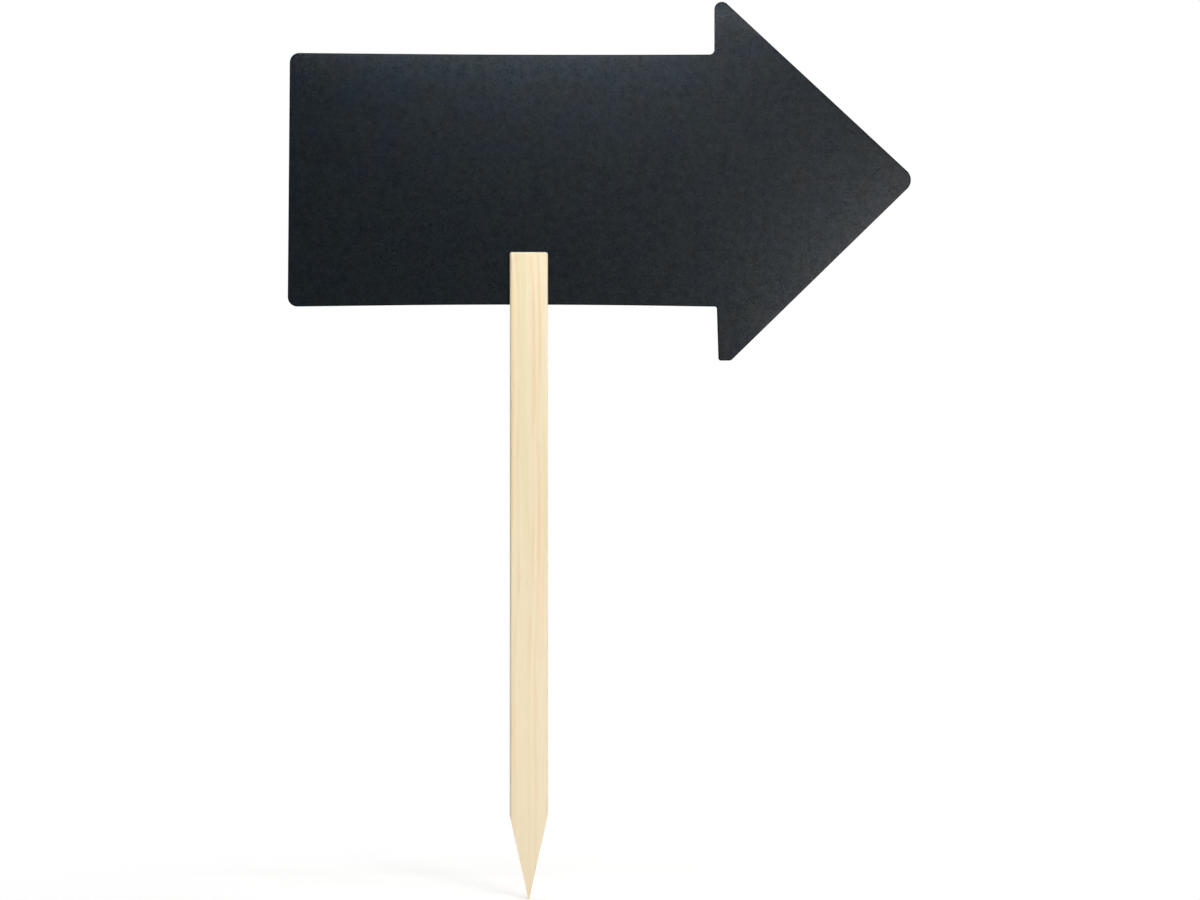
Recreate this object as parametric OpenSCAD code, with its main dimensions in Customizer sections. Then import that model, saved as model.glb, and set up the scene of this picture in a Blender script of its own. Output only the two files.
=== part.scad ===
// A direction sign for a garden or an event: an arrow-shaped chalkboard held in the slotted top
// of a pointed wooden stake. The origin is the tip of the stake. The arrow points along +X, the
// stake stands along +Z, and the writing faces look along -Y and +Y.

/* [Arrow board] */
// Thickness of the board
board_t = 3; // [2:0.5:6]
// Length of the arrow's body, from the tail to the back of the head
body_l = 280; // [220:2:340]
// Height of the body at the tail
body_h = 167; // [140:1:200]
// Length of the head, from its back to where its slanted edges would meet
head_l = 133; // [110:1:160]
// Rise of the upper barb above the body, to where its edges would meet
barb_rise = 40; // [30:0.5:55]
// Drop of the lower barb below the body, to where its edges would meet
barb_drop = 43.5; // [30:0.5:55]
// Height cut off the lower barb, which leaves it blunt
barb_trim = 8; // [4:0.5:12]
// Distance from the tail to the middle of the stake
stake_from_tail = 158; // [110:2:200]

/* [Board corners] */
// Radius of the two corners at the tail
tail_r = 6.3; // [3:0.1:12]
// Radius of the upper barb
upper_barb_r = 5; // [3:0.1:8]
// Radius at the back of the blunt lower barb
lower_barb_back_r = 1.8; // [1.5:0.1:2.5]
// Radius at the front of the blunt lower barb
lower_barb_front_r = 3.4; // [2:0.1:5]
// Radius of the arrow's tip
tip_r = 8.2; // [4:0.1:14]
// Radius in the upper notch behind the head
upper_notch_r = 3.3; // [1:0.1:8]
// Radius in the lower notch behind the head
lower_notch_r = 1.3; // [1:0.1:8]
// Radius of the eased edge round both faces
board_edge_r = 0.9; // [0.4:0.1:1.3]

/* [Hand-cut outline] */
// How far the lower corner of the tail stands out beyond the upper one
tail_lean = 1.4; // [0:0.1:3]
// Fall of the body's top edge from the tail to the head
top_fall = 1.1; // [0:0.1:3]
// Depth of the hollow in the body's top edge, over the stake
top_hollow = 0.6; // [0.2:0.1:1.5]
// Depth of the hollow in the body's bottom edge, at the stake
bottom_hollow = 1.3; // [0.2:0.1:2.5]
// How much nearer to the tip the lower notch is than the upper one
notch_shift = 1.6; // [0:0.1:4]
// Lean of the lower barb's back edge towards the tip
barb_lean = 1.1; // [0:0.1:3]

/* [Stake] */
// Width of the stake
stake_w = 25; // [18:1:40]
// Thickness of the stake
stake_t = 15; // [11:1:25]
// Length of the stake, from its top to its tip
stake_l = 425; // [300:5:700]
// Length of the two-sided point
point_l = 55; // [30:1:90]
// Width that the saw leaves at the very tip
tip_w = 0.6; // [0.2:0.1:3]
// Radius of the stake's long edges
arris_r = 1.5; // [0.5:0.1:2.5]
// Radius of the top's corners, seen from the front
top_corner_r = 1.6; // [0.5:0.1:4]
// Radius of the top's front and back edges
top_edge_r = 1.4; // [0.5:0.1:2.5]

/* [Slot] */
// Depth of the slot in the top of the stake
slot_depth = 34.5; // [20:0.5:60]
// Clearance between the board and each wall of the slot
slot_clearance = 0.1; // [0.05:0.05:0.4]
// Gap between the board's bottom edge and the floor of the slot
seat_gap = 0.05; // [0.02:0.01:0.2]

/* [Hidden] */

// How far a facet may leave the true arc of a corner
chord_error = 0.008;
// Facets round a quarter of the board's eased edge
edge_steps = 5;
// Share of the shorter side of a hollow edge that its arc takes up
hollow_share = 0.75;
// Most of the board's thickness that the easing of one face may take
edge_share = 0.45;
// How far into the head the heart of the arrow lies, as a share of the head
heart_share = 0.25;
// What a cut or a crossing profile reaches past the wood
margin = 1;

slot_w = board_t + 2 * slot_clearance;
slot_floor_z = stake_l - slot_depth;

tail_x = -stake_from_tail;
head_x = tail_x + body_l;
lower_notch_x = head_x + notch_shift;
lower_barb_x = lower_notch_x + barb_lean;
top_z = body_h / 2;
bottom_z = -body_h / 2;
lower_barb_z = bottom_z - barb_drop;

tail_top = [tail_x + tail_lean / 2, top_z];
tail_bottom = [tail_x - tail_lean / 2, bottom_z];
upper_notch = [head_x, top_z - top_fall];
lower_notch = [lower_notch_x, bottom_z];
upper_barb = [head_x, top_z + barb_rise];
lower_barb = [lower_barb_x, lower_barb_z];
arrow_tip = [head_x + head_l, 0];
heart = [head_x + heart_share * head_l, 0];
trim_back = lower_barb + [0, barb_trim];
trim_front = lower_barb + (arrow_tip - lower_barb) * barb_trim / -lower_barb_z;

// The hollow in the bottom edge, and the height of the board that seats the lowest part of that
// edge just over the floor of the slot
bottom_row = hollow(tail_bottom, lower_notch, bottom_hollow);
bottom_centre = arc_centre(tail_bottom, place(bottom_row), lower_notch, bottom_row.z);
seat_z = min([for (x = [-stake_w / 2, stake_w / 2]) arc_top(bottom_centre, bottom_row.z, x)]);
board_z = slot_floor_z + seat_gap - seat_z;

// The corners of the arrow, anticlockwise as seen from the front: [x, z, radius]
arrow_rows = [
    with_radius(tail_bottom, tail_r),
    bottom_row,
    with_radius(lower_notch, lower_notch_r),
    with_radius(trim_back, lower_barb_back_r),
    with_radius(trim_front, lower_barb_front_r),
    with_radius(arrow_tip, tip_r),
    with_radius(upper_barb, upper_barb_r),
    with_radius(upper_notch, upper_notch_r),
    hollow(upper_notch, tail_top, top_hollow),
    with_radius(tail_top, tail_r),
];

// The stake from the front: straight sides, eased top corners and a point: [x, z, radius]
stake_front_rows = [
    [tip_w / 2, 0, 0],
    [stake_w / 2, point_l, 0],
    [stake_w / 2, stake_l, top_corner_r],
    [-stake_w / 2, stake_l, top_corner_r],
    [-stake_w / 2, point_l, 0],
    [-tip_w / 2, 0, 0],
];

function unit(v) = v / norm(v);
function right_of(d) = [d.y, -d.x];
function turned(v, a) = [v.x * cos(a) - v.y * sin(a), v.x * sin(a) + v.y * cos(a)];
function bend(d1, d2) = atan2(d1.x * d2.y - d1.y * d2.x, d1 * d2);
function place(row) = [row.x, row.y];
function with_radius(p, r) = [p.x, p.y, r];
function arc_top(centre, r, x) = centre.y + sqrt(r * r - pow(x - centre.x, 2));
function box_rows(x, low, high, r_low, r_high) =
    [[x, low, r_low], [x, high, r_high], [-x, high, r_high], [-x, low, r_low]];

// How many facets keep an arc within the chord error
function arc_steps(r, a) = ceil(abs(a) / (2 * acos(1 - min(chord_error / r, 1))));

// The corner of a shallow hollow between two points of a long edge. It lies on the stake's axis,
// where x is 0, and its large radius gives the edge the stated depth there.
function hollow(from, to, depth) =
    let (
        reach = [abs(from.x), abs(to.x)],
        run = hollow_share * min(reach),
        lift = depth / (1 - run * (1 / reach.x + 1 / reach.y) / 4),
        straight_z = from.y + (to.y - from.y) * from.x / (from.x - to.x),
        half_bend = (atan(lift / reach.x) + atan(lift / reach.y)) / 2
    )
    [0, straight_z - sign(straight_z) * lift, run / tan(half_bend)];

// The centre of the arc that rounds a corner. It lies outside the outline where the corner is hollow.
function arc_centre(before, at, after, r) =
    let (d1 = unit(at - before), a = bend(d1, unit(after - at)))
    at - r * tan(abs(a) / 2) * d1 - sign(a) * r * right_of(d1);

// One corner as a list of [point, outward normal]: an arc, or a single point if it is sharp
function corner(before, at, after, r) =
    let (
        d1 = unit(at - before),
        a = bend(d1, unit(after - at)),
        side = sign(a),
        centre = arc_centre(before, at, after, r)
    )
    r > 0
        ? let (steps = arc_steps(r, a))
            [for (i = [0:steps]) let (n = turned(right_of(d1), a * i / steps)) [centre + side * r * n, n]]
        : [[at, right_of(d1)]];

// A closed outline from its corner rows, as a list of [point, outward normal]
function outline(rows) =
    let (k = len(rows))
    [
        for (i = [0:k - 1])
            each corner(
                place(rows[(i + k - 1) % k]), place(rows[i]), place(rows[(i + 1) % k]), rows[i].z
            )
    ];

function points_of(rim) = [for (e = rim) e[0]];

// A flat plate in the XZ plane, centred on Y, with its edge rounded over on both faces. Each face
// is a fan of triangles from heart, an inner point that sees the whole outline.
module eased_plate(rows, t, edge_r, heart) {
    rim = outline(rows);
    k = len(rim);
    quarter = [
        for (i = [0:edge_steps])
            let (a = 90 * i / edge_steps) [edge_r * (1 - sin(a)), t / 2 - edge_r * (1 - cos(a))]
    ];
    rings = concat(
        [for (q = quarter) [q.x, -q.y]],
        [for (i = [edge_steps:-1:0]) quarter[i]]
    );
    last = len(rings) - 1;
    ring_points = [for (s = rings) for (e = rim) let (p = e[0] - s.x * e[1]) [p.x, s.y, p.y]];
    front_heart = len(ring_points);
    back_heart = front_heart + 1;
    points = concat(ring_points, [[heart.x, -t / 2, heart.y], [heart.x, t / 2, heart.y]]);
    faces = [
        for (i = [0:k - 1])
            let (n = (i + 1) % k)
            each concat(
                [[front_heart, n, i], [back_heart, last * k + i, last * k + n]],
                [for (j = [0:last - 1]) [j * k + i, j * k + n, (j + 1) * k + n, (j + 1) * k + i]]
            )
    ];
    polyhedron(points, faces, convexity = 4);
}

// A profile drawn in X and Z, given a thickness along Y
module upright_profile(rows, t) {
    rotate([90, 0, 0])
        linear_extrude(t, center = true)
            polygon(points_of(outline(rows)));
}

module arrow_board() {
    color([0.16, 0.18, 0.20])
        translate([0, 0, board_z])
            eased_plate(arrow_rows, board_t, min(board_edge_r, board_t * edge_share), heart);
}

// The lath with its long edges and its top eased, and its foot sawn to a two-sided point
module pointed_lath() {
    intersection() {
        linear_extrude(stake_l + margin)
            polygon(points_of(outline(box_rows(stake_w / 2, -stake_t / 2, stake_t / 2, arris_r, arris_r))));
        upright_profile(stake_front_rows, stake_t + 2 * margin);
        rotate([0, 0, 90])
            upright_profile(box_rows(stake_t / 2, -margin, stake_l, 0, top_edge_r), stake_w + 2 * margin);
    }
}

// The saw cut across the top that holds the board
module slot() {
    translate([-stake_w / 2 - margin, -slot_w / 2, slot_floor_z])
        cube([stake_w + 2 * margin, slot_w, slot_depth + margin]);
}

module stake() {
    color([0.93, 0.86, 0.71])
        difference() {
            pointed_lath();
            slot();
        }
}

arrow_board();
stake();
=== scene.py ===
"""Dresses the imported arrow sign: a matt black chalkboard arrow in the top of a pale softwood stake."""

import math
from collections import defaultdict

import bmesh
import bpy
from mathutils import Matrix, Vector, noise


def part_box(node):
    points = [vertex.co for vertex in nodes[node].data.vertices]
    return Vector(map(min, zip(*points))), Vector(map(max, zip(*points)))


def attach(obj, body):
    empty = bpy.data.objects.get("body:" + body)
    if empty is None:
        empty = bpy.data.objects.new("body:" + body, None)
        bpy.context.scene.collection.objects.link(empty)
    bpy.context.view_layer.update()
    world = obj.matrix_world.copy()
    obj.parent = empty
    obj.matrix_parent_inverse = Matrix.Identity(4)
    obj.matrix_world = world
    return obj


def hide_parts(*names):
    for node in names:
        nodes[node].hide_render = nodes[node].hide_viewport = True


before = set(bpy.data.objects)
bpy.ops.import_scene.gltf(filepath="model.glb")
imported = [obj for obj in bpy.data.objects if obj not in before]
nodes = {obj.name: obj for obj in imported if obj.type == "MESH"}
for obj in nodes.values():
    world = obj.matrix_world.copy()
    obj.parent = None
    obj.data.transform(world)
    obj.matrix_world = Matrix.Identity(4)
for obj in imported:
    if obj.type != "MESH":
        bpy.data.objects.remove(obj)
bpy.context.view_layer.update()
scene = bpy.context.scene


# The camera looks level along +Y, as in the photograph. Lengths are in metres, but for the sensor's, which
# is in millimetres. The frame is the part of the sign's own plane that fills the picture.

CAMERA_DISTANCE = 3.0
FRAME_CENTRE = Vector((0.04678, 0.0, 0.29498))
FRAME_WIDTH = 0.7896
SENSOR_WIDTH = 36.0

camera_data = bpy.data.cameras.new("camera")
camera_data.sensor_width = SENSOR_WIDTH
camera_data.lens = SENSOR_WIDTH * CAMERA_DISTANCE / FRAME_WIDTH
camera_data.clip_start = 0.05
camera_data.clip_end = 50.0
camera = bpy.data.objects.new("camera", camera_data)
camera.location = FRAME_CENTRE - Vector((0.0, CAMERA_DISTANCE, 0.0))
camera.rotation_euler = (math.radians(90.0), 0.0, 0.0)
scene.collection.objects.link(camera)
scene.camera = camera
scene.view_settings.view_transform = "Standard"


class Graph:
    """A node tree with short calls: node() makes a node and sets or links its inputs by name or number."""

    def __init__(self, tree):
        self.tree = tree
        tree.nodes.clear()

    def node(self, kind, inputs=None, **settings):
        made = self.tree.nodes.new("ShaderNode" + kind)
        for name, value in settings.items():
            setattr(made, name, value)
        for name, value in (inputs or {}).items():
            self.put(made.inputs[name], value)
        return made

    def put(self, socket, value):
        if isinstance(value, bpy.types.NodeSocket):
            self.tree.links.new(value, socket)
        else:
            socket.default_value = value

    def math(self, operation, *values, clamp=False):
        made = self.node("Math", operation=operation, use_clamp=clamp)
        for socket, value in zip(made.inputs, values):
            self.put(socket, value)
        return made.outputs[0]

    def noise(self, vector, scale, detail=2.0, roughness=0.5):
        return self.node(
            "TexNoise",
            {"Vector": vector, "Scale": scale, "Detail": detail, "Roughness": roughness},
        ).outputs["Fac"]

    def stretched(self, vector, factors, offset=(0.0, 0.0, 0.0)):
        return self.node(
            "Mapping", {"Vector": vector, "Scale": factors, "Location": offset}
        ).outputs["Vector"]

    def span(self, value, low, high, to_low=0.0, to_high=1.0, smooth=True):
        return self.node(
            "MapRange",
            {
                "Value": value,
                "From Min": low,
                "From Max": high,
                "To Min": to_low,
                "To Max": to_high,
            },
            interpolation_type="SMOOTHSTEP" if smooth else "LINEAR",
        ).outputs["Result"]

    def grey(self, value):
        return self.node("CombineColor", {0: value, 1: value, 2: value}).outputs[0]

    def mix(self, factor, first, second, blend="MIX"):
        made = self.node("Mix", data_type="RGBA", blend_type=blend)
        self.put(made.inputs["Factor"], factor)
        self.put(made.inputs[6], first if not isinstance(first, tuple) else (*first, 1.0))
        self.put(made.inputs[7], second if not isinstance(second, tuple) else (*second, 1.0))
        return made.outputs[2]


def new_material(name):
    material = bpy.data.materials.new(name)
    material.use_nodes = True
    return material, Graph(material.node_tree)


DIM_LIGHT = 0.12
FLOOR_GREY = (0.86, 0.86, 0.86, 1.0)
WHITE = (1.0, 1.0, 1.0, 1.0)


def seen_directly(graph):
    """1 for rays from the camera, off a glossy surface or through a clear one, and otherwise 0."""
    path = graph.node("LightPath").outputs
    camera_or_glossy = graph.math("MAXIMUM", path["Is Camera Ray"], path["Is Glossy Ray"])
    return graph.math("MAXIMUM", camera_or_glossy, path["Is Transmission Ray"])


def make_world():
    """A background that is white where it is seen directly. As a light it is plain and dim."""
    world = bpy.data.worlds.new("studio")
    world.use_nodes = True
    scene.world = world
    graph = Graph(world.node_tree)
    dim = graph.node("Background", {"Color": (0.96, 0.98, 1.0, 1.0), "Strength": DIM_LIGHT})
    white = graph.node("Background", {"Color": WHITE, "Strength": 1.0})
    both = graph.node(
        "MixShader", {0: seen_directly(graph), 1: dim.outputs[0], 2: white.outputs[0]}
    )
    graph.node("OutputWorld", {"Surface": both.outputs[0]})


def make_floor():
    """A pale floor. The camera sees it white, apart from the soft shadow of the sign. Near the foot it is
    partly lit by the lamps, and its glow falls short of white by what they give, so the shadow shows."""
    reach = 2.5
    shadow_reach = (0.12, 0.45)
    shadow_depth = 0.9
    floor_light = 0.76
    mesh = bpy.data.meshes.new("floor")
    corners = [(-reach, -reach, 0), (reach, -reach, 0), (reach, reach, 0), (-reach, reach, 0)]
    mesh.from_pydata(corners, [], [(0, 1, 2, 3)])
    floor = bpy.data.objects.new("floor", mesh)
    scene.collection.objects.link(floor)
    material, graph = new_material("pale_floor")
    place = graph.node("TexCoord").outputs["Object"]
    far = graph.node("VectorMath", {0: place}, operation="LENGTH").outputs["Value"]
    share = graph.span(far, *shadow_reach, shadow_depth, 0.0)
    pale = graph.node("BsdfDiffuse", {"Color": FLOOR_GREY})
    faint = graph.node("BsdfDiffuse", {"Color": graph.grey(share)})
    glow_strength = graph.math("SUBTRACT", 1.0, graph.math("MULTIPLY", share, floor_light))
    glow = graph.node("Emission", {"Color": WHITE, "Strength": glow_strength})
    seen = graph.node("AddShader", {0: faint.outputs[0], 1: glow.outputs[0]})
    both = graph.node(
        "MixShader", {0: seen_directly(graph), 1: pale.outputs[0], 2: seen.outputs[0]}
    )
    graph.node("OutputMaterial", {"Surface": both.outputs[0]})
    mesh.materials.append(material)


def add_lamp(name, place, target, size, watts, colour):
    """A soft rectangular lamp that faces target. It isn't in the picture itself."""
    data = bpy.data.lights.new(name, "AREA")
    data.shape = "RECTANGLE"
    data.size, data.size_y = size
    data.energy = watts
    data.color = colour
    lamp = bpy.data.objects.new(name, data)
    lamp.location = place
    lamp.rotation_euler = (Vector(target) - Vector(place)).to_track_quat("-Z", "Y").to_euler()
    lamp.visible_camera = False
    scene.collection.objects.link(lamp)


# The paint's glare comes from the small lamps: cool along the top edge, neutral towards the tip and rosy
# under the head.

COOL = (0.89, 0.94, 1.0)
NEUTRAL = (1.0, 0.94, 0.91)
ROSY = (1.0, 0.82, 0.78)
WARM = (1.0, 0.985, 0.96)
LAMPS = (
    # name, place, target, size, watts, colour; lengths in metres
    ("top_rim", (0.0, -0.03, 0.585), (0.0, 0.0, 0.556), (0.26, 0.01), 0.022, COOL),
    ("top_edge", (-0.025, -0.08, 0.58), (-0.025, 0.0, 0.555), (0.27, 0.01), 0.25, COOL),
    ("top_near", (-0.04, -0.45, 0.64), (0.0, 0.0, 0.56), (0.18, 0.04), 0.05, COOL),
    ("top_wide", (0.03, -0.80, 0.69), (0.03, 0.0, 0.56), (0.28, 0.06), 1.05, COOL),
    ("top_right", (0.15, -0.80, 0.72), (0.10, 0.0, 0.56), (0.20, 0.06), 0.35, COOL),
    ("over_head", (0.17, -0.15, 0.62), (0.15, 0.0, 0.58), (0.04, 0.03), 0.10, COOL),
    ("under_barb", (0.190, -0.08, 0.365), (0.200, 0.0, 0.385), (0.05, 0.02), 0.06, ROSY),
    ("under_tip", (0.235, -0.08, 0.410), (0.220, 0.0, 0.430), (0.05, 0.02), 0.04, ROSY),
    ("right_near", (0.28, -0.30, 0.42), (0.24, 0.0, 0.44), (0.03, 0.12), 0.14, NEUTRAL),
    ("right_box", (0.40, -1.0, 0.34), (0.22, 0.0, 0.38), (0.20, 0.30), 5.0, NEUTRAL),
    ("at_foot", (0.10, -0.40, 0.03), (0.0, 0.0, 0.05), (0.20, 0.04), 0.38, WARM),
    ("high_front", (1.2, -1.7, 1.5), (0.0, 0.0, 0.30), (1.2, 1.0), 3.0, WARM),
    ("left_front", (-1.7, -1.5, 0.7), (0.0, 0.0, 0.25), (0.9, 1.2), 1.0, WARM),
    ("overhead", (0.0, 0.2, 2.4), (0.0, 0.0, 0.0), (2.4, 2.4), 12.0, (1.0, 1.0, 1.0)),
    ("back_left", (-1.2, 1.5, 0.9), (0.0, 0.0, 0.30), (0.8, 0.8), 16.0, WARM),
    ("back_right", (1.0, 1.5, 0.6), (0.0, 0.0, 0.30), (0.8, 0.8), 14.0, WARM),
)


def finish_surface(graph, shader_inputs, bump_height, bump_distance):
    """One shader with a fine relief, whose depth bump_distance is in metres."""
    bump = graph.node(
        "Bump",
        {"Strength": 1.0, "Distance": bump_distance, "Height": bump_height},
    ).outputs["Normal"]
    shader = graph.node("BsdfPrincipled", {**shader_inputs, "Normal": bump, "Coat Normal": bump})
    graph.node("OutputMaterial", {"Surface": shader.outputs[0]})


PAINT_BUMP = 0.00004
GRAIN_SPAN = (0.30, 0.70)
SAME_SCALE = (1.0, 1.0, 1.0)


def chalkboard_material():
    """Matt chalkboard paint: near-black with a blue cast, a fine sandy texture and pale specks of grit."""
    material, graph = new_material("chalkboard_paint")
    place = graph.node("TexCoord").outputs["Object"]
    facing = graph.node("SeparateXYZ", {0: graph.node("NewGeometry").outputs["Normal"]})
    cut_edge = graph.span(graph.math("ABSOLUTE", facing.outputs["Y"]), 0.25, 0.8, 1.0, 0.0)

    clouds = graph.noise(place, 38.0, 3.0, 0.55)
    warm_clouds = graph.noise(graph.stretched(place, SAME_SCALE, (3.1, 0.0, 7.7)), 55.0, 3.0, 0.6)
    grain = graph.noise(place, 270.0, 3.0, 0.90)
    pits = graph.noise(graph.stretched(place, SAME_SCALE, (0.0, 5.3, 2.9)), 700.0, 2.0, 0.7)
    grit = graph.node("TexVoronoi", {"Vector": place, "Scale": 860.0}, feature="F1").outputs
    spot = graph.span(grit["Distance"], 0.16, 0.48, 1.0, 0.0)
    pick = graph.node("SeparateColor", {0: grit["Color"]}).outputs[0]
    light_spot = graph.math("MULTIPLY", spot, graph.span(pick, 0.92, 0.99, smooth=False))
    dark_spot = graph.math("MULTIPLY", spot, graph.span(pick, 0.01, 0.08, 1.0, 0.0, smooth=False))
    spots = graph.math("SUBTRACT", light_spot, dark_spot)

    blue = (0.0006, 0.0033, 0.0066)
    green = (0.0009, 0.0039, 0.0053)
    brown = (0.0018, 0.0033, 0.0044)
    edge_grey = (0.0070, 0.0078, 0.0086)
    colour = graph.mix(graph.span(clouds, 0.40, 0.60), blue, green)
    colour = graph.mix(graph.span(warm_clouds, 0.48, 0.66, 0.0, 0.8), colour, brown)
    shade = graph.span(grain, *GRAIN_SPAN, 0.85, 1.15, smooth=False)
    colour = graph.mix(1.0, colour, graph.grey(shade), "MULTIPLY")
    colour = graph.mix(graph.math("MULTIPLY", cut_edge, 0.6), colour, edge_grey)

    # The paint's thin satin coat is uneven. It lies thicker on the grain and thinner in the pits.
    satin = graph.math(
        "MULTIPLY",
        graph.span(grain, *GRAIN_SPAN, 0.37, 0.70, smooth=False),
        graph.span(pits, 0.25, 0.75, 0.70, 1.30, smooth=False),
    )
    satin = graph.math("ADD", satin, graph.math("MULTIPLY", spots, 0.70), clamp=True)
    kept_on_edge = graph.math("SUBTRACT", 1.0, graph.math("MULTIPLY", cut_edge, 0.35))
    satin = graph.math("MULTIPLY", satin, kept_on_edge)
    height = graph.math("ADD", pits, graph.math("MULTIPLY", spots, 0.3))
    finish_surface(
        graph,
        {
            "Base Color": colour,
            "Roughness": graph.span(grain, *GRAIN_SPAN, 0.85, 0.70, smooth=False),
            "Specular IOR Level": 0.0,
            "Coat Weight": satin,
            "Coat Roughness": 0.30,
            "Coat IOR": 1.28,
        },
        height,
        PAINT_BUMP,
    )
    return material


# The stake was sawn beside the heart of a tree. Its growth rings lie about a wavering upright line. The
# colour and the relief of the mesh both follow them. Lengths are in metres. WIDE_AND_NARROW makes some
# rings wider than others: by how much, and how fast that changes outwards. In each ring the dense late
# wood rises from LATE_FROM to LATE_FULL and falls away after LATE_END, as shares of the ring.

RING_CENTRE = (-0.058, 0.013)
RING_WIDTH = 0.0064
WIDE_AND_NARROW = (0.0016, 480.0)
WAVERS = (
    # size, pace up the stake, start
    (0.0016, 13.0, 0.6),
    (0.0005, 41.0, 2.1),
    (0.0002, 97.0, 4.0),
)
LATE_FROM, LATE_FULL, LATE_END = 0.15, 0.72, 0.80


def smooth_rise(value, low, high):
    share = min(1.0, max(0.0, (value - low) / (high - low)))
    return share * share * (3.0 - 2.0 * share)


def late_wood(x, y, z):
    """How far a point of the wood lies in the dense part of its ring, from 0 to 1."""
    for size, pace, start in WAVERS:
        x += size * math.sin(pace * z + start)
    reach = math.hypot(x - RING_CENTRE[0], y - RING_CENTRE[1])
    reach += WIDE_AND_NARROW[0] * math.sin(WIDE_AND_NARROW[1] * reach)
    part = (reach / RING_WIDTH) % 1.0
    return smooth_rise(part, LATE_FROM, LATE_FULL) * (1.0 - smooth_rise(part, LATE_END, 1.0))


WOOD_BUMP = 0.00008


def softwood_material():
    """Pale planed softwood with straight, slowly wavering growth rings, fine fibres and darker sawn ends."""
    material, graph = new_material("pale_softwood")
    place = graph.node("TexCoord").outputs["Object"]
    x, y, z = graph.node("SeparateXYZ", {0: place}).outputs
    facing = graph.node("SeparateXYZ", {0: graph.node("NewGeometry").outputs["Normal"]})
    upright = graph.math("ABSOLUTE", facing.outputs["Z"])
    end_grain = graph.span(upright, 0.86, 1.0)
    # Where the eased top edge gets its painted highlight: the rounding, close under the top.
    top_highlight_mask = graph.math("MULTIPLY", graph.span(upright, 0.10, 0.45), graph.span(z, 0.42, 0.4235))
    sawn = graph.math(
        "MULTIPLY",
        graph.span(z, 0.0545, 0.0555, 1.0, 0.0),
        graph.span(graph.math("ABSOLUTE", facing.outputs["X"]), 0.6, 0.9),
    )

    across = x
    for size, pace, start in WAVERS:
        wave = graph.math("SINE", graph.math("ADD", graph.math("MULTIPLY", z, pace), start))
        across = graph.math("ADD", across, graph.math("MULTIPLY", wave, size))
    to_centre_x = graph.math("SUBTRACT", across, RING_CENTRE[0])
    to_centre_y = graph.math("SUBTRACT", y, RING_CENTRE[1])
    reach = graph.math(
        "SQRT",
        graph.math(
            "ADD",
            graph.math("MULTIPLY", to_centre_x, to_centre_x),
            graph.math("MULTIPLY", to_centre_y, to_centre_y),
        ),
    )
    uneven = graph.math("SINE", graph.math("MULTIPLY", reach, WIDE_AND_NARROW[1]))
    reach = graph.math("ADD", reach, graph.math("MULTIPLY", uneven, WIDE_AND_NARROW[0]))
    part = graph.math("FRACT", graph.math("DIVIDE", reach, RING_WIDTH))
    late = graph.math(
        "MULTIPLY",
        graph.span(part, LATE_FROM, LATE_FULL),
        graph.span(part, LATE_END, 1.0, 1.0, 0.0),
    )

    # The wood is plainer towards the point.
    figure = graph.span(z, 0.04, 0.24, 0.35, 1.0)
    strength = graph.span(
        graph.noise(graph.stretched(place, (150.0, 150.0, 9.0)), 1.0, 2.0), 0.38, 0.62, 0.15, 1.0
    )
    strength = graph.math("MULTIPLY", strength, figure)
    pink_band = graph.noise(graph.stretched(place, (170.0, 170.0, 5.0), (5.0, 1.0, 0.0)), 1.0, 2.0)
    olive_band = graph.noise(graph.stretched(place, (170.0, 170.0, 6.0), (0.0, 7.0, 3.0)), 1.0, 2.0)
    dashes = graph.noise(graph.stretched(place, (1100.0, 1100.0, 60.0)), 1.0, 2.0, 0.6)
    fibre = graph.noise(graph.stretched(place, (2600.0, 2600.0, 45.0)), 1.0, 3.0, 0.6)

    left_band = (0.719, 0.626, 0.390)
    sanded_top_and_highlight = (0.75, 0.68, 0.52)
    fresh_cut = (0.79, 0.66, 0.45)
    pale = (0.742, 0.643, 0.451)
    amber = (0.713, 0.562, 0.337)
    pink = (0.748, 0.600, 0.414)
    olive = (0.693, 0.621, 0.385)
    pinker = graph.math("MULTIPLY", graph.span(pink_band, 0.46, 0.66, 0.0, 0.80), figure)
    greener = graph.math("MULTIPLY", graph.span(olive_band, 0.46, 0.66, 0.0, 0.90), figure)
    colour = graph.mix(pinker, pale, pink)
    colour = graph.mix(greener, colour, olive)
    colour = graph.mix(graph.span(across, -0.0135, -0.0080, 0.7, 0.0), colour, left_band)
    colour = graph.mix(graph.math("MULTIPLY", late, strength), colour, amber)
    shade = graph.math(
        "MULTIPLY",
        graph.span(fibre, 0.25, 0.75, 0.970, 1.02),
        graph.span(dashes, 0.56, 0.74, 1.0, 0.955),
    )
    colour = graph.mix(1.0, colour, graph.grey(shade), "MULTIPLY")
    # The eased top edge is painted paler. This is partly sanded wood and partly a painted highlight, where
    # light from above catches the rounding.
    colour = graph.mix(graph.math("MULTIPLY", top_highlight_mask, 0.8), colour, sanded_top_and_highlight)
    rings_end = graph.mix(late, (0.75, 0.60, 0.38), (0.60, 0.42, 0.23))
    colour = graph.mix(graph.math("MULTIPLY", end_grain, 0.85), colour, rings_end)
    colour = graph.mix(graph.math("MULTIPLY", sawn, 0.45), colour, fresh_cut)

    roughness = graph.span(fibre, 0.25, 0.75, 0.50, 0.62)
    cut_across = graph.math("ADD", end_grain, sawn)
    roughness = graph.math("ADD", roughness, graph.math("MULTIPLY", cut_across, 0.15))
    height = graph.math("ADD", graph.math("MULTIPLY", fibre, 0.6), graph.math("MULTIPLY", late, 0.2))
    finish_surface(
        graph,
        {"Base Color": colour, "Roughness": roughness, "Specular IOR Level": 0.40},
        height,
        WOOD_BUMP,
    )
    return material


def put_on(thing, material):
    """Gives a piece its one material."""
    thing.data.materials.clear()
    thing.data.materials.append(material)


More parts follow.
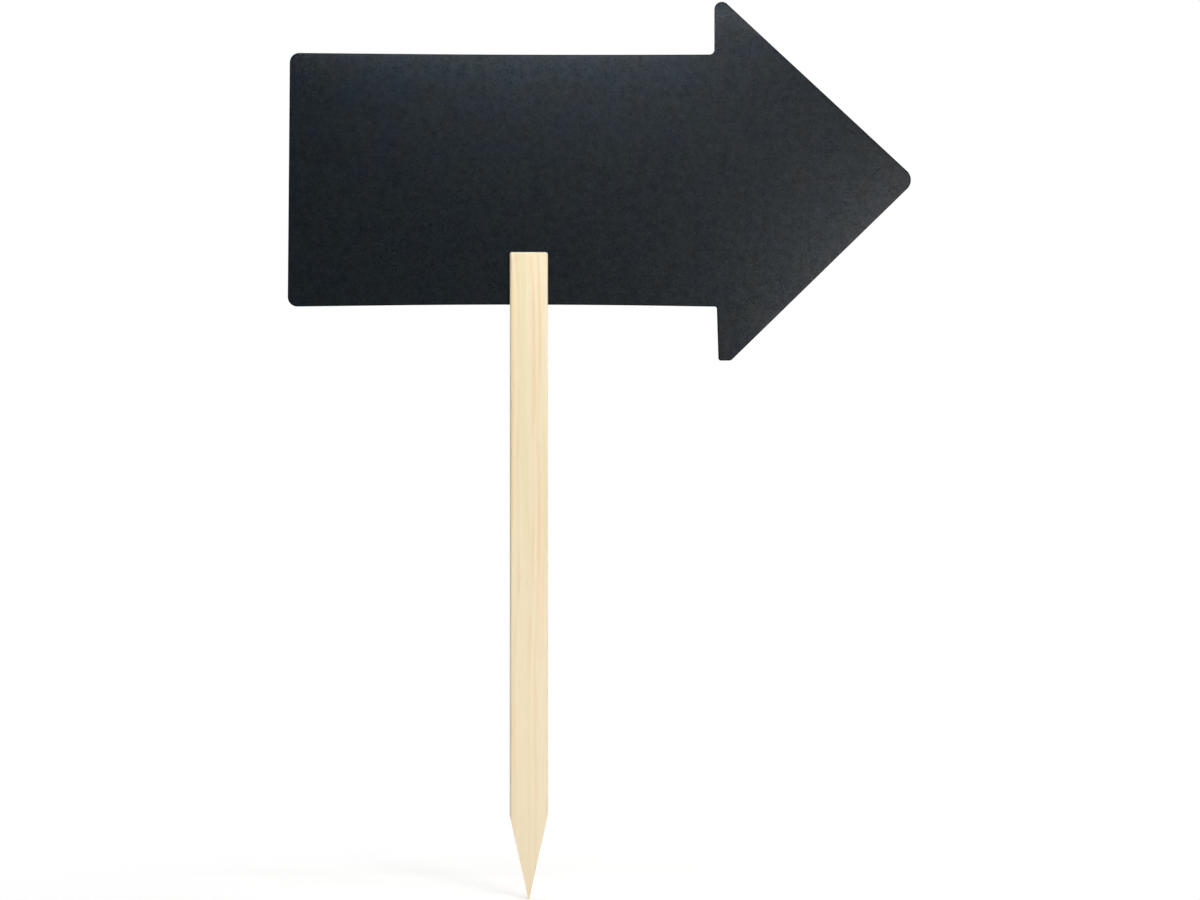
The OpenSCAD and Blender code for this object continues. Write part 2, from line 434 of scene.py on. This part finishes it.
def round_edges(thing, widest_turn):
    """Smooth normals for the facets of a rounded edge, weighted by area so that the flat faces stay flat."""
    mesh = thing.data
    mesh.polygons.foreach_set("use_smooth", [True] * len(mesh.polygons))
    places = [tuple(round(c, 6) for c in vertex.co) for vertex in mesh.vertices]
    meeting = defaultdict(list)
    for face in mesh.polygons:
        for i in face.vertices:
            meeting[places[i]].append((face.normal.copy(), face.area))
    least = math.cos(widest_turn)
    normals = []
    for face in mesh.polygons:
        for i in face.vertices:
            total = Vector()
            for normal, area in meeting[places[i]]:
                if normal.dot(face.normal) > least:
                    total += normal * area
            flat = abs(face.normal.y) > 0.999
            normals.append(tuple(face.normal if flat else total.normalized()))
    mesh.normals_split_custom_set(normals)


class Stake:
    """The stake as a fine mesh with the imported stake's form: a lath with eased arrises, a slot in its
    eased top and a two-sided point. The sawn faces and the arrises have their own slight relief."""

    ARRIS_R = 0.0015
    LEAST_ARRIS = 0.0004
    TOP_CORNER_R = 0.0016
    TOP_EDGE_R = 0.0014
    POINT_L = 0.055
    TIP_HALF_W = 0.0003
    SLOT_HALF_W = 0.0016
    SLOT_DEPTH = 0.0345

    # Vertices across a broad face, and steps from the slot to the arris, round the arris and across the
    # slot. Then come the levels of the point, of the shaft, of the slot and of the eased top.
    ACROSS = 45
    SIDE_STEPS = 9
    ARRIS_STEPS = 6
    SLOT_STEPS = 6
    POINT_LEVELS = 158
    SHAFT_LEVELS = 168
    SLOT_LEVELS = 34
    TOP_LEVELS = 7

    # The relief, all of it inward
    ARRIS_WEAR = 0.00016
    WEAR_PACE = 38.0
    SAW_PITCH = 0.0017
    SAW_DEPTH = 0.00012
    SAW_SLANT = 0.12
    SAW_WANDER = 2.5
    SAWN_ROUGHNESS = 0.00006
    UNEVENNESS = 0.00003
    RING_RELIEF = 0.00004

    SLOT_MARGIN = 0.0001
    FACES_MOSTLY = 0.8
    SHARP_FROM = math.radians(32.0)

    def __init__(self):
        self.half_w, self.half_t, self.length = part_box("stake")[1]
        self.slot_floor = self.length - self.SLOT_DEPTH
        self.points = []
        self.faces = []
        self.build()

    def half_width(self, z):
        if z < self.POINT_L:
            return self.TIP_HALF_W + (self.half_w - self.TIP_HALF_W) * z / self.POINT_L
        return self.half_w - self.eased(z, self.TOP_CORNER_R)

    def eased(self, z, radius):
        """How far the rounding at the top draws a side in at height z."""
        up = max(0.0, min(z - (self.length - radius), radius))
        return radius - math.sqrt(radius * radius - up * up)

    def half_section(self, z, side):
        """One half of the section at height z: from one corner of the slot, round a broad face, to the
        slot's other corner."""
        wide = self.half_width(z)
        deep = self.half_t - self.eased(z, self.TOP_EDGE_R)
        flat = self.half_w - self.ARRIS_R
        edge = self.half_t - self.ARRIS_R
        across, down = self.ARRIS_R, self.ARRIS_R
        if z > self.slot_floor:
            flat, edge = min(flat, wide - self.LEAST_ARRIS), min(edge, deep - self.LEAST_ARRIS)
            across, down = wide - flat, deep - edge
        right = []
        for i in range(self.SIDE_STEPS):
            share = i / self.SIDE_STEPS
            right.append((wide, self.SLOT_HALF_W + (edge - self.SLOT_HALF_W) * share))
        for i in range(self.ARRIS_STEPS + 1):
            a = math.radians(90.0 * i / self.ARRIS_STEPS)
            right.append((min(flat + across * math.cos(a), wide), edge + down * math.sin(a)))
        reach = min(flat, wide)
        steps = self.ACROSS - 1
        face = [(reach * (1 - 2 * i / steps), deep) for i in range(1, steps)]
        left = [(-x, y) for x, y in reversed(right)]
        return [(x * -side, y * side, z) for x, y in right + face + left]

    def add(self, points):
        first = len(self.points)
        self.points.extend(points)
        return list(range(first, len(self.points)))

    def between(self, start, end, steps):
        """New vertices on the straight line between two others, with both ends."""
        a, b = Vector(self.points[start]), Vector(self.points[end])
        inner = self.add([tuple(a.lerp(b, i / steps)) for i in range(1, steps)])
        return [start, *inner, end]

    def skin(self, rows, closed=False):
        """Quads between rows of vertices."""
        for low, high in zip(rows, rows[1:]):
            count = len(low)
            for i in range(count if closed else count - 1):
                j = (i + 1) % count
                self.faces.append((low[i], low[j], high[j], high[i]))

    def patch(self, low, high, left, right):
        """Fills four joined rows: left and right run from low to high."""
        rows = [low]
        n, m = len(low) - 1, len(left) - 1
        p = [Vector(v) for v in self.points]
        for j in range(1, m):
            v = j / m
            inner = []
            for i in range(1, n):
                u = i / n
                edges = p[low[i]] * (1 - v) + p[high[i]] * v + p[left[j]] * (1 - u) + p[right[j]] * u
                low_line = p[low[0]] * (1 - u) + p[low[n]] * u
                high_line = p[high[0]] * (1 - u) + p[high[n]] * u
                corners = low_line * (1 - v) + high_line * v
                inner.append(tuple(edges - corners))
            rows.append([left[j], *self.add(inner), right[j]])
        rows.append(high)
        self.skin(rows)

    def cap(self, half, slot_line):
        """Closes one half section: from the slot's line over to the broad face."""
        k = self.SIDE_STEPS + self.ARRIS_STEPS + 1
        self.patch(slot_line, half[k - 1 : k - 1 + self.ACROSS], half[:k], half[::-1][:k])

    def build(self):
        steps = self.SLOT_STEPS
        heights = [self.POINT_L * i / self.POINT_LEVELS for i in range(self.POINT_LEVELS)]
        shaft = self.slot_floor - self.POINT_L
        heights += [self.POINT_L + shaft * i / self.SHAFT_LEVELS for i in range(self.SHAFT_LEVELS + 1)]
        halves, rings = [], []
        for z in heights:
            front = self.add(self.half_section(z, -1))
            back = self.add(self.half_section(z, 1))
            one = self.between(front[-1], back[0], steps)
            other = self.between(back[-1], front[0], steps)
            halves.append((front, back, one, other))
            rings.append(front + one[1:-1] + back + other[1:-1])
        self.skin(rings, closed=True)
        for front, back, one, other in (halves[0], halves[-1]):
            front_line = self.between(front[0], front[-1], self.ACROSS - 1)
            back_line = self.between(back[-1], back[0], self.ACROSS - 1)
            self.patch(front_line, back_line, other[::-1], one)
            if front is halves[0][0]:
                self.cap(front, front_line)
                self.cap(back, back_line[::-1])
        self.tine(front, front_line, -1)
        self.tine(back, back_line[::-1], 1)

    def tine(self, half, slot_line, side):
        top = self.length - self.TOP_CORNER_R
        rise = top - self.slot_floor
        heights = [self.slot_floor + rise * i / self.SLOT_LEVELS for i in range(1, self.SLOT_LEVELS + 1)]
        for i in range(1, self.TOP_LEVELS + 1):
            heights.append(top + self.TOP_CORNER_R * math.sin(math.radians(90.0 * i / self.TOP_LEVELS)))
        outer, inner = [half], [slot_line]
        for z in heights:
            row = self.add(self.half_section(z, side))
            outer.append(row)
            inner.append(self.between(row[0], row[-1], self.ACROSS - 1))
        self.skin(outer)
        self.skin(inner)
        self.cap(outer[-1], inner[-1])

    def relief(self, place, normal):
        """How deep a point of the surface lies under the plain form."""
        x, y, z = place
        in_slot = z > self.slot_floor - self.SLOT_MARGIN and abs(y) < self.SLOT_HALF_W + self.SLOT_MARGIN
        if in_slot:
            return 0.0
        depth = self.UNEVENNESS * (0.5 + 0.5 * noise.noise(Vector((x * 90, y * 90, z * 45))))
        depth += self.RING_RELIEF * (1.0 - late_wood(x, y, z))
        round_x = (abs(x) - (self.half_w - self.ARRIS_R)) / self.ARRIS_R
        round_y = (abs(y) - (self.half_t - self.ARRIS_R)) / self.ARRIS_R
        sawn_point = z < self.POINT_L and abs(normal.x) > self.FACES_MOSTLY
        sawn_end = abs(normal.z) > self.FACES_MOSTLY
        if sawn_point:
            wobble = noise.noise(Vector((y * 160, z * 120, x * 20)))
            along = z + self.SAW_SLANT * y
            stroke = math.sin(2 * math.pi * along / self.SAW_PITCH + self.SAW_WANDER * wobble)
            depth += self.SAW_DEPTH * (0.5 + 0.5 * stroke) * (0.6 + 0.4 * wobble)
        elif sawn_end:
            depth += self.SAWN_ROUGHNESS * (0.5 + 0.5 * noise.noise(Vector((x * 700, y * 1500, 0.5))))
        elif round_x > 0 and round_y > 0:
            corner = 3.0 * (x > 0) + 7.0 * (y > 0)
            worn = 0.5 + 0.5 * noise.noise(Vector((corner, 0.3, z * self.WEAR_PACE)))
            depth += self.ARRIS_WEAR * worn * min(1.0, 2 * round_x * round_y)
        return depth

    def object(self):
        mesh = bpy.data.meshes.new("softwood_stake")
        mesh.from_pydata(self.points, [], self.faces)
        shape = bmesh.new()
        shape.from_mesh(mesh)
        bmesh.ops.recalc_face_normals(shape, faces=shape.faces)
        shape.normal_update()
        for v, depth in [(v, self.relief(v.co, v.normal)) for v in shape.verts]:
            v.co -= v.normal * depth
        for face in shape.faces:
            face.smooth = True
        shape.to_mesh(mesh)
        shape.free()
        mesh.set_sharp_from_angle(angle=self.SHARP_FROM)
        made = bpy.data.objects.new("softwood_stake", mesh)
        scene.collection.objects.link(made)
        return made


# Facets that turn by less than this are shaded as one rounded edge.
WIDEST_TURN = math.radians(40.0)

make_world()
make_floor()
for lamp in LAMPS:
    add_lamp(*lamp)
round_edges(nodes["arrow_board"], WIDEST_TURN)
put_on(nodes["arrow_board"], chalkboard_material())
stake = Stake().object()
put_on(stake, softwood_material())
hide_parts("stake")
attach(stake, "root")
